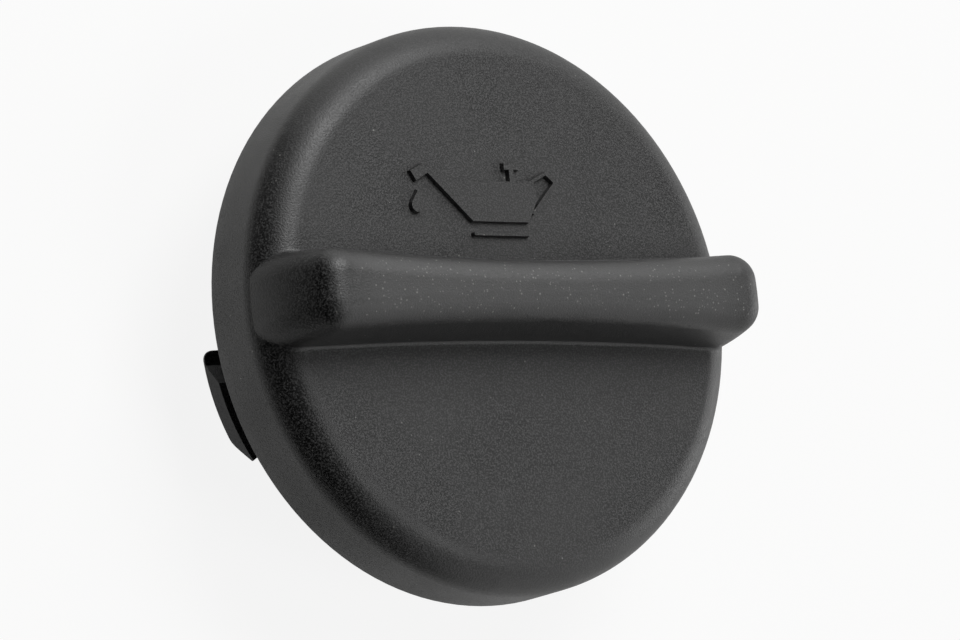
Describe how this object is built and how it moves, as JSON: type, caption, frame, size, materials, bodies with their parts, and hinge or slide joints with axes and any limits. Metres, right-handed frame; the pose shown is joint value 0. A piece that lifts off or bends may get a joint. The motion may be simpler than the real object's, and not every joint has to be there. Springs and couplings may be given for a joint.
{
  "type": "oil filler cap",
  "caption": "Round moulded bayonet cap with a waisted grip bar across its face, a short skirt, a hollow shank with locking lugs and a flat rubber seal ring.",
  "frame": {"origin": "on the cap's axis, in the sealing plane, where the seal ring meets the rim of the filler neck", "axes": "+Z out of the neck, through the face; the grip bar lies along X; the sign on the face reads upright with +Y up"},
  "size_m": [0.07, 0.07, 0.0348],
  "materials": {
    "moulded_nylon": "black glass-filled nylon, moulded with a fine grained face",
    "seal_rubber": "black nitrile rubber, moulded, satin"
  },
  "bodies": {
    "root": {"cap_body": "moulded_nylon", "seal_ring": "seal_rubber"}
  },
  "joints": []
}
